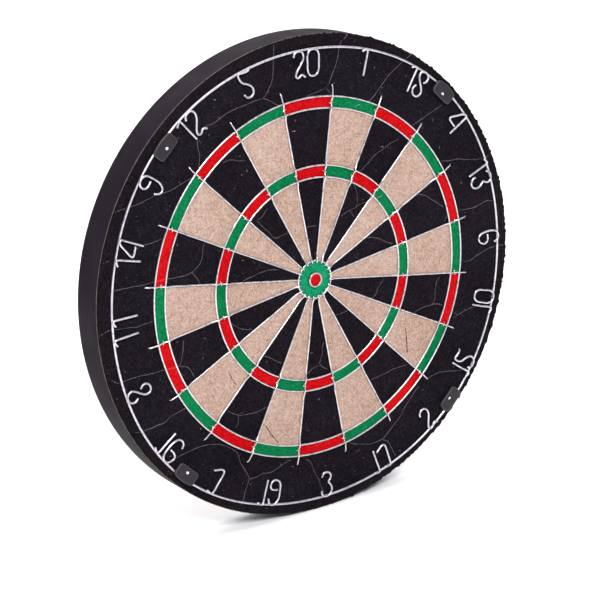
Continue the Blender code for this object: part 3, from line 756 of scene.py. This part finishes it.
def build_marks():
    """Bruised lines, a stain and scuffs, then loose fibres lying on the face."""
    brown = [((-98.5, -69), (-96.5, -73), (-94, -79), (-91, -83)), ((-61, -131), (-58, -137), (-54, -143), (-48, -151.5)),
             ((104, -70), (105, -83), (105.5, -96)), ((-117, -86), (-115.5, -90)), ((21, 76), (22.5, 74)),
             ((40, 135.5), (40.6, 133.5)), ((20, 20), (22, 18)), ((-64.5, -128), (-62.8, -130))]
    parts = []
    for n, run in enumerate(brown):
        path = smooth_path([(x, y, 0.0) for x, y in run], step=0.9)[:, :2]
        for q in path:
            w = Vector((q[0] * 0.4, q[1] * 0.4, 12.0))
            q += (0.5 * noise.noise(w), 0.5 * noise.noise(w + Vector((5, 3, 1))))
        thick = 1.3 if n == 2 else 0.95
        width = np.array([thick * (0.55 + 0.9 * abs(noise.noise(Vector((q[0] * 0.5, q[1] * 0.5, 50.0))))) for q in path])
        width[0] = width[-1] = 0.1
        parts.append(strip(path, width, 0.07))
    v, f = join_parts(parts)
    mesh_object("bruised_lines", v, f, BRUISE)
    scuffs = [((73, 64), (77, 65.5), (81, 66)), ((52.5, 155.5), (56, 157), (59.5, 157.5)), ((-17.5, 143.5), (-13.5, 143.8)),
              ((-68, 117), (-67.5, 114.5)), ((-98.5, 185.5), (-96.5, 184.8)), ((81, 113), (83, 113.5), (84, 112)),
              ((151, 44), (152.5, 42.5)), ((116, 62), (122, 60)), ((-74, 113), (-72, 112.5))]
    parts = []
    for run in scuffs:
        path = smooth_path([(x, y, 0.0) for x, y in run], step=0.6)[:, :2]
        width = np.full(len(path), 0.32)
        width[0] = width[-1] = 0.08
        parts.append(strip(path, width, 0.10))
    for _ in range(520):                                            # short pale ends on the dark sisal
        r, deg = 226.0 * math.sqrt(rng.uniform(0.01, 1)), rng.uniform(0, 360)
        x, y, _h = clock(r, deg)
        if zone(x, y) != 0:
            continue
        a, length = rng.uniform(0, 2 * pi), rng.choice((0.5, 0.8, 1.2, 2.2), p=(0.4, 0.3, 0.2, 0.1))
        bend = rng.uniform(-0.4, 0.4)
        mid = (x + length * 0.5 * math.cos(a + bend), y + length * 0.5 * math.sin(a + bend))
        path = smooth_path([(x, y, 0.0), (*mid, 0.0), (x + length * math.cos(a), y + length * math.sin(a), 0.0)], step=0.4)[:, :2]
        width = np.full(len(path), rng.uniform(0.07, 0.22))
        width[0] = width[-1] = 0.04
        parts.append(strip(path, width, 0.08))
    v, f = join_parts(parts)
    mesh_object("loose_fibres_pale", v, f, LINT_PALE)
    parts, light = [], []
    for _ in range(2400):                                           # brown specks and pale hairs on the natural sisal
        r, deg = DOUBLE_IN * math.sqrt(rng.uniform(0.02, 1)), rng.uniform(0, 360)
        x, y, _h = clock(r, deg)
        if zone(x, y) != 1 or zone(x + 4, y) != 1 or zone(x - 4, y) != 1 or zone(x, y + 4) != 1 or zone(x, y - 4) != 1:
            continue
        a = rng.uniform(0, 2 * pi)
        pale = rng.random() < 0.22
        length = rng.uniform(1.5, 7.0) if pale else rng.choice((0.4, 0.7, 1.1, 1.8), p=(0.4, 0.3, 0.2, 0.1))
        bend = rng.uniform(-0.7, 0.7)
        mid = (x + length * 0.5 * math.cos(a + bend), y + length * 0.5 * math.sin(a + bend))
        path = smooth_path([(x, y, 0.0), (*mid, 0.0), (x + length * math.cos(a), y + length * math.sin(a), 0.0)], step=0.5)[:, :2]
        width = np.full(len(path), rng.uniform(0.10, 0.2) if pale else rng.uniform(0.12, 0.34))
        width[0] = width[-1] = 0.05
        (light if pale else parts).append(strip(path, width, 0.08))
    v, f = join_parts(parts)
    mesh_object("specks_on_natural", v, f, LINT_BROWN)
    v, f = join_parts(light)
    mesh_object("hairs_on_natural", v, f, SEAM_PALE)
    parts = []
    for _ in range(16):
        x, y = 13.0 + rng.normal(0, 2.2), 57.0 + rng.normal(0, 2.6)
        a = rng.uniform(0, 2 * pi)
        path = smooth_path([(x, y, 0.0), (x + 1.6 * math.cos(a), y + 1.6 * math.sin(a), 0.0)], step=0.4)[:, :2]
        width = np.full(len(path), 0.28)
        width[0] = width[-1] = 0.06
        parts.append(strip(path, width, 0.06))
    v, f = join_parts(parts)
    mesh_object("yellow_fibres", v, f, STAIN)


build_marks()

# ------------------------------------------------------------------------------------------
# rim band and backing board
# ------------------------------------------------------------------------------------------
def build_band():
    front = (FACE_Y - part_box("rim_band")[0].y) * 1000.0           # h of the front edge
    rear = (FACE_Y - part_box("rim_band")[1].y) * 1000.0
    inner = RIM_R - 1.0
    prof = [(inner, rear + 0.15), (inner, front - 0.35), (inner + 0.12, front - 0.1),
            (inner + 0.36, front), (RIM_R - 0.36, front), (RIM_R - 0.12, front - 0.1),
            (RIM_R - 0.02, front - 0.35), (RIM_R, front - 0.8), (RIM_R, front - 4.0)]
    for k in range(1, 8):
        prof.append((RIM_R, front - 4.0 + (rear + 4.0 - front) * k / 8))
    prof += [(RIM_R, rear + 0.7), (RIM_R - 0.1, rear + 0.2), (RIM_R - 0.3, rear), (inner + 0.2, rear)]
    steps = 360
    v, f = turned(prof, steps, closed=True)
    v = np.array(v)
    for i, p in enumerate(v):                                       # a rolled strip is never quite flat
        d = math.hypot(p[0], p[1])
        if d > RIM_R - 0.5:
            w = 0.045 * noise.noise(Vector((p[0] * 0.02, p[1] * 0.02, p[2] * 0.05)))
            v[i, :2] *= (d - abs(w)) / d
    # faces on the rolled front lip take the lighter paint: a painted highlight along the edge
    lip = [1 if all(v[i][2] > front - 0.45 for i in face) else 0 for face in f]
    ob = mesh_object("rim_band_strip", v, f, [BAND, BAND_LIP_HIGHLIGHT], lip)
    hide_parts("rim_band")


build_band()
frame["nodes"]["backing_board"].data.materials.clear()
frame["nodes"]["backing_board"].data.materials.append(BOARD)

# ------------------------------------------------------------------------------------------
# spider: ring wires, radial wires, staples, bull rings
# ------------------------------------------------------------------------------------------
WR = 0.8


def ring_wire(node, name, radius, h, wire_r, steps, mat, wobble=0.12):
    pts = []
    for i in range(steps):
        deg = 360.0 * i / steps
        x, y, _ = clock(radius, deg)
        w = wobble * noise.noise(Vector((x * 0.03, y * 0.03, radius)))
        dh = 0.12 * noise.noise(Vector((x * 0.05, y * 0.05, radius + 5.0)))
        pts.append(clock(radius + w, deg, h + dh))
    v, f = outward(*tube(pts, wire_r, 12, closed=True))
    ob = mesh_object(name, v, f, mat)
    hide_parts(node)
    return ob


for node, radius, steps in (("double_outer_wire", DOUBLE_OUT, 360), ("double_inner_wire", DOUBLE_IN, 360),
                            ("treble_outer_wire", TREBLE_OUT, 240), ("treble_inner_wire", TREBLE_IN, 240),
                            ("outer_bull_wire", BULL_WIRE, 120)):
    ring_wire(node, node.replace("_wire", "_round_wire"), radius, 1.05, WR, steps, WIRE)


def radial(k):
    """One radial wire: hooked round the outer bull wire, over each ring wire, tail in the sisal."""
    deg = 9.0 + 18.0 * k
    low, hump = 1.1, 2.6
    bend = rng.uniform(-0.25, 0.25, 4)
    path = [(BULL_WIRE - 2.3, -1.6, 0.0), (BULL_WIRE - 2.2, 0.4, 0.0), (BULL_WIRE - 1.5, 2.0, 0.0),
            (BULL_WIRE, 2.5, 0.0), (BULL_WIRE + 1.8, 2.0, 0.0), (BULL_WIRE + 5.0, 0.95, 0.0)]
    path += [(35.0, low, bend[0] * 0.5), (60.0, low, bend[0]), (82.0, low, bend[0] * 0.5)]
    for a, b in ((TREBLE_IN, TREBLE_OUT), (DOUBLE_IN, DOUBLE_OUT)):
        m = (a + b) / 2
        path += [(a - 5.5, low, 0.0), (a - 2.0, hump - 0.5, 0.0), (a, hump, 0.0), (a + 1.8, hump - 0.5, 0.0),
                 (m, low - 0.1, 0.0), (b - 1.8, hump - 0.5, 0.0), (b, hump, 0.0), (b + 2.0, hump - 0.5, 0.0)]
        if a == TREBLE_IN:
            path += [(b + 6.0, low, 0.0), (125.0, low, bend[1] * 0.4), (143.0, low, bend[1] * 0.4)]
    side = rng.uniform(-0.9, 0.9)
    reach = rng.uniform(-0.6, 0.9)
    path += [(DOUBLE_OUT + 4.5, 1.7, side * 0.1), (DOUBLE_OUT + 7.6 + reach, 1.2, side * 0.5),
             (DOUBLE_OUT + 9.3 + reach, -0.1, side), (DOUBLE_OUT + 9.7 + reach, -1.8, side)]
    pts = smooth_path([(s, r, h) for r, h, s in path], step=1.3)
    v, f = outward(*tube(pts, 0.74, 10))
    v, f = moved((v, f), 0, 0, 0, deg)
    ob = mesh_object("radial_round_wire_%02d" % (k + 1), v, f, WIRE)
    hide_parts("radial_wire_%02d" % (k + 1))


for k in range(20):
    radial(k)


def staple(name, radius, deg):
    """A flat-crowned staple over a radial wire, its legs in the sisal."""
    half, top = 2.1, 1.75
    pts = [(-half, 0.0, -2.0), (-half, 0.0, 0.3), (-half + 0.25, 0.0, top - 0.55), (-half + 0.9, 0.0, top - 0.05),
           (0.0, 0.0, top + 0.12), (half - 0.9, 0.0, top - 0.05), (half - 0.25, 0.0, top - 0.55),
           (half, 0.0, 0.3), (half, 0.0, -2.0)]
    v, f = outward(*tube(smooth_path(pts, step=0.7), 0.42, 8))
    v, f = moved((v, f), 0, 0, 0, rng.uniform(-22, 22))
    x, y, _ = clock(radius + rng.uniform(-0.8, 0.8), deg)
    v, f = moved((v, f), 0, 0, 0, deg)
    v = v + (x, y, 0.0)
    ob = mesh_object(name, v, f, WIRE)


for k in range(20):
    staple("staple_treble_%02d" % (k + 1), (TREBLE_IN + TREBLE_OUT) / 2, 9.0 + 18.0 * k)
    staple("staple_double_%02d" % (k + 1), (DOUBLE_IN + DOUBLE_OUT) / 2, 9.0 + 18.0 * k)


def bull_ring():
    top = 3.0
    out = BULL_OUT + 0.3
    prof = [(BULL_IN, -6.0), (BULL_IN, top - 0.35), (BULL_IN + 0.12, top - 0.1), (BULL_IN + 0.35, top),
            (out - 0.35, top), (out - 0.12, top - 0.1), (out, top - 0.35), (out, -6.0)]
    v, f = turned(prof, 96, closed=True)
    ob = mesh_object("inner_bull_band", v, f, STEEL)
    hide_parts("inner_bull_ring")


bull_ring()

# ------------------------------------------------------------------------------------------
# number ring
# ------------------------------------------------------------------------------------------
NUMBER_R, NUMERAL_R = 1.1, 1.0
RING_H, NUMERAL_H_UP = 1.4, 3.05
GLYPH_H = 24.5


def ring_r(deg):
    a = math.radians(deg)
    return (219.2 - 2.1 * math.cos(4.0 * a) + 1.2 * math.sin(a) - 0.8 * math.cos(a)
            + 0.6 * math.cos(2.0 * a - math.radians(33.0)))


GLYPHS = {
    '0': ([(0, 24), (-4.2, 22.8), (-6.4, 19), (-6.6, 12), (-6.6, 6), (-4.2, 1.2), (0, 0), (4.2, 1.2),
           (6.6, 6), (6.6, 12), (6.4, 19), (4.2, 22.8)], True),
    '1': ([(0, 0), (-0.7, 12), (-1.4, 22.8), (-2.2, 24), (-3.4, 23.8), (-7.2, 21.6)], False),
    '2': ([(-6.4, 19.6), (-4.6, 22.8), (-1.2, 24), (3, 23), (4.6, 19.6), (3.4, 15), (-4.2, 6),
           (-5.6, 3.2), (-4.6, 0.8), (-2.2, 0.6), (1.4, 2.6), (3.6, 2), (5.6, 0)], False),
    '3': ([(-5.6, 20), (-3, 23.4), (0.7, 24), (4.6, 22.4), (5.8, 19.4), (4.2, 16.0), (2.4, 14.2), (4.0, 11.6),
           (5.6, 9), (5.8, 4.6), (2.4, 0.6), (-2, 0), (-5.8, 3), (-6, 6.4)], False),
    '4': ([(1.6, 7.6), (-6.6, 7.6), (-8.4, 7.9), (-9.0, 9.6), (-4.4, 16.0), (0.5, 22.6), (3, 24), (5.0, 22.6),
           (4.9, 20), (4.3, 10), (3.6, 0)], False),
    '5': ([(7.2, 24), (6.2, 22.9), (0, 23.2), (-3.9, 24), (-4.9, 22.8), (-4.9, 19.4), (-3.5, 15.4), (2.8, 10.6),
           (5.6, 6.6), (4.6, 2), (1.4, 0), (-2.8, 0.3), (-6, 4.2)], False),
    '6': ([(6.4, 19), (4.4, 22.8), (0, 24), (-4, 22), (-6, 17), (-6.3, 8.6), (-4.6, 2.4),
           (-0.8, 0), (3.8, 1.6), (6.4, 7), (5, 9.8), (1.7, 11), (-3, 11)], False),
    '7': ([(-8, 20.4), (-4, 22.2), (0.5, 24), (3.4, 23.6), (4.4, 21.4), (3.6, 11), (2.6, 1.6), (1.6, 0),
           (0.2, 0.1), (-4.6, 1.6)], False),
    '8': ([(3.0, 14.6), (5.2, 17.4), (5, 21.2), (2, 23.7), (-2, 24), (-5.4, 21.6),
           (-5, 17.6), (-2, 14), (2.6, 10), (5.6, 5.6), (4, 1.4), (0.5, 0), (-4, 1.4),
           (-6, 5.4), (-4.2, 9.4)], False),
    '9': ([(-5.6, 6), (-3, 1.2), (0, 0), (3.5, 1.4), (6.2, 5.6), (6.5, 14), (5.4, 20.6),
           (2.1, 23.6), (-2.1, 24), (-5.4, 21.8), (-6, 17.8), (-3.5, 15), (3.2, 14.6)], False),
}
FEET_OUT = {10, 15, 2, 17, 3, 19, 7, 16, 8}
FOOT_ONE = ([(0, 24), (0.2, 12), (0.4, 1.4), (-0.2, 0.2), (-1.6, 0), (-6, 1.6)], False)
DIGIT_AT = {20: (-8.8, 6.8), 1: (1.4,), 18: (-6.3, 4.4), 4: (-1.4,), 13: (-8.7, 2.3),
            6: (-3.0,), 10: (3.1, -7.7), 15: (2.4, -7.2), 2: (-3.5,), 17: (2.1, -9.6),
            3: (-3.0,), 19: (3.5, -7.7), 7: (-3.5,), 16: (2.1, -9.6), 8: (-3.5,),
            11: (-11.9, 6.7), 14: (-6.2, 6.0), 9: (-2.1,), 12: (-7.4, 2.3), 5: (-2.8,)}


def build_number_ring():
    parts = []
    pts = []
    for i in range(480):
        deg = i * 0.75
        x, y, _ = clock(ring_r(deg), deg)
        pts.append(clock(ring_r(deg) + 0.15 * noise.noise(Vector((x * 0.02, y * 0.02, 2.0))), deg, RING_H))
    parts.append(outward(*tube(pts, NUMBER_R, 12, closed=True)))
    for sector, number in enumerate(ORDER):
        mid = 18.0 * sector
        feet_out = number in FEET_OUT
        for digit, at in zip(str(number), DIGIT_AT[number]):
            points, closed = FOOT_ONE if feet_out and digit == '1' else GLYPHS[digit]
            path = []
            for x, y in points:
                if feet_out:
                    x, y = (x if digit == '8' else -x), 24.0 - y
                deg = mid + (at + x) / 219.2 * 180.0 / pi
                r = ring_r(deg) - GLYPH_H * (1.0 - y / 24.0)
                path.append(clock(r, deg, NUMERAL_H_UP))
            parts.append(outward(*tube(smooth_path(path, closed, 0.9), NUMERAL_R, 10, closed)))
    v, f = join_parts(parts)
    ob = mesh_object("number_ring_wire", v, f, NUMBER, body="number_ring")
    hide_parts("number_ring")


build_number_ring()

# ------------------------------------------------------------------------------------------
# clips and nails
# ------------------------------------------------------------------------------------------
CLIPS = ((44.6, 216.2), (135.1, 216.0), (224.2, 215.2), (314.9, 213.1))


def clip_outline(inset=0.0, n=7):
    w, low0, high0, c = 25.0, -4.8, 8.7, 3.6
    half, low, high = w / 2 - c, low0 + c, high0 - c
    rad = c - inset
    pts = []
    for cx, cy, start in ((half, low, -90), (half, high, 0), (-half, high, 90), (-half, low, 180)):
        for s in range(n + 1):
            a = math.radians(start + 90 * s / n)
            pts.append((cx + rad * math.cos(a), cy + rad * math.sin(a)))
        if start == 0:
            for s in range(1, 12):
                x = half - 2 * half * s / 12
                pts.append((x, high + rad + 0.9 * (1 - (x / half) ** 2)))
        elif start == 180:
            pass
    return pts


def build_clip(i, deg, nail_r):
    under, top = 2.8, 5.0
    levels = [(0.25, under), (0.0, under + 0.2), (0.0, top - 0.75), (0.12, top - 0.42), (0.42, top - 0.14),
              (0.9, top)]
    rings = [clip_outline(ins) for ins, _ in levels]
    n = len(rings[0])
    verts, faces = [], []
    for (ins, z), ring in zip(levels, rings):
        for x, y in ring:
            verts.append((x, y, z))
    for k in range(len(levels) - 1):
        for s in range(n):
            q = (s + 1) % n
            faces.append((k * n + s, k * n + q, (k + 1) * n + q, (k + 1) * n + s))
    # nail recess: the top plate is bridged from its outline to a round hole
    hole_r = 2.2
    ring_top = list(range((len(levels) - 1) * n, len(levels) * n))
    hole = []
    for s in ring_top:
        x, y, _ = verts[s]
        a = math.atan2(y, x)
        hole.append(a)
    def circle(rad, z):
        base = len(verts)
        for a in hole:
            verts.append((rad * math.cos(a), rad * math.sin(a), z))
        return list(range(base, base + n))
    mid = []
    base = len(verts)
    for s, a in zip(ring_top, hole):
        x, y, _ = verts[s]
        mx, my = (x + 2.9 * math.cos(a)) / 2, (y + 2.9 * math.sin(a)) / 2
        verts.append((mx, my, top + 0.02))
    mid = list(range(base, base + n))
    loops = [ring_top, mid, circle(2.8, top), circle(hole_r + 0.12, top - 0.06), circle(hole_r, top - 0.3),
             circle(hole_r, 3.05), circle(1.15, 3.0), circle(1.15, 0.3), circle(2.9, 0.3), circle(3.2, under)]
    painted_shade_from = 0
    # the rounded top edge (slot 2) takes the lighter paint: a painted highlight
    mats = [2 if k >= 3 else 0 for k in range(len(levels) - 1) for _ in range(n)]
    for k in range(len(loops) - 1):
        for s in range(n):
            q = (s + 1) % n
            faces.append((loops[k][s], loops[k][q], loops[k + 1][q], loops[k + 1][s]))
            # faces in the nail hole (slot 1) take the near-black paint: painted shade in the recess
            mats.append(1 if 4 <= k <= 6 else 0)
    bottom = list(range(0, n))
    for s in range(n):
        q = (s + 1) % n
        faces.append((loops[-1][s], loops[-1][q], bottom[q], bottom[s]))
        mats.append(0)
    v, f = outward(verts, faces)
    x, y, _ = clock(nail_r, deg)
    v, f = moved((v, f), x, y, 0.0, deg)
    ob = mesh_object("clip_plate_%d" % i, v, f, [CLIP, CLIP_HOLE_SHADE, CLIP_EDGE_HIGHLIGHT], mats, body="clip_%d" % i)
    ob.data.set_sharp_from_angle(angle=math.radians(50))
    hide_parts("ring_clip_%d" % i)
    t = 4.6
    prof = [(0.0, t), (0.7, t - 0.02), (1.2, t - 0.09), (1.5, t - 0.28), (1.58, t - 0.5), (1.52, t - 1.0),
            (1.3, t - 1.18), (0.8, t - 1.2), (0.8, t - 18.4), (0.0, t - 20.0)]
    v, f = moved(turned(prof, 32), x, y, 0.0, deg)
    ob = mesh_object("round_nail_%d" % i, v, f, NAIL_PAINTED_REFLECTION, body="nail_%d" % i)
    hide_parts("clip_nail_%d" % i)


for i, (deg, nail_r) in enumerate(CLIPS, 1):
    build_clip(i, deg, nail_r)

# ------------------------------------------------------------------------------------------
# back hardware keeps its CAD shapes
# ------------------------------------------------------------------------------------------
for node, mat in (("hanging_screw", ZINC), ("hanging_washer", ZINC), ("spacer_screw_1", ZINC),
                  ("spacer_screw_2", ZINC), ("spacer_screw_3", ZINC), ("spacer_pad_1", RUBBER),
                  ("spacer_pad_2", RUBBER), ("spacer_pad_3", RUBBER)):
    me = frame["nodes"][node].data
    me.materials.clear()
    me.materials.append(mat)

# ------------------------------------------------------------------------------------------
# stage, light, camera
# ------------------------------------------------------------------------------------------
def stage():
    m = Mat("stage_white", rough=0.9)
    m.set("Specular IOR Level", 0.1)
    n = m.noise(3.0, 2.0)
    m.done(m.ramp(n.outputs["Fac"], [(0.3, (0.93, 0.93, 0.93)), (0.7, (0.95, 0.95, 0.95))]))
    floor_z = -0.2302
    bm = bmesh.new()
    # floor that curves up into a backdrop far behind
    prof = [(-6.0, 0.0), (-2.0, 0.0), (2.0, 0.0)]
    prof += [(2.0 + 1.2 * math.sin(a), 1.2 - 1.2 * math.cos(a)) for a in np.linspace(0.1, pi / 2, 14)]
    prof += [(3.2, 6.0)]
    rows = [[bm.verts.new((x, y, floor_z + z)) for x in (-7.0, 7.0)] for y, z in prof]
    for a, b in zip(rows, rows[1:]):
        bm.faces.new((a[0], a[1], b[1], b[0]))
    bm.normal_update()
    me = bpy.data.meshes.new("studio_sweep")
    bm.to_mesh(me)
    bm.free()
    me.shade_smooth()
    ob = bpy.data.objects.new("studio_sweep", me)
    me.materials.append(m.mat)
    bpy.context.scene.collection.objects.link(ob)


stage()


def area(name, where, target, size, power, color=(1, 1, 1), size_y=None):
    la = bpy.data.lights.new(name, 'AREA')
    la.shape = 'RECTANGLE' if size_y else 'SQUARE'
    la.size = size
    if size_y:
        la.size_y = size_y
    la.energy = power
    la.color = color
    ob = bpy.data.objects.new(name, la)
    ob.location = where
    ob.rotation_euler = (Vector(target) - Vector(where)).to_track_quat('-Z', 'Y').to_euler()
    bpy.context.scene.collection.objects.link(ob)
    return ob


area("key_upper_left", (-1.8, -4.35, 3.9), (0, 0, 0), 1.9, 372.0)
area("overhead", (0.7, 1.0, 2.4), (0.7, 1.0, 0), 4.0, 112.0)

wd = bpy.data.worlds.new("studio")
bpy.context.scene.world = wd
wd.use_nodes = True
wd.node_tree.nodes["Background"].inputs["Color"].default_value = (0.88, 0.86, 1.0, 1)
wd.node_tree.nodes["Background"].inputs["Strength"].default_value = 0.28

cam_data = bpy.data.cameras.new("photo_view")
cam_data.sensor_width = 36.0
cam_data.lens = 124.064
cam_data.clip_start = 0.05
cam_data.clip_end = 40.0
cam = bpy.data.objects.new("photo_view", cam_data)
right = Vector((0.83013682, -0.55607837, -0.04061664))
up = Vector((0.19818744, 0.2262026, 0.95370547))
back = right.cross(up)
cam.matrix_world = Matrix(((right.x, up.x, back.x, -1.02123), (right.y, up.y, back.y, -1.58164),
                           (right.z, up.z, back.z, 0.55748), (0, 0, 0, 1)))
bpy.context.scene.collection.objects.link(cam)
bpy.context.scene.camera = cam
bpy.context.scene.view_settings.view_transform = 'Standard'
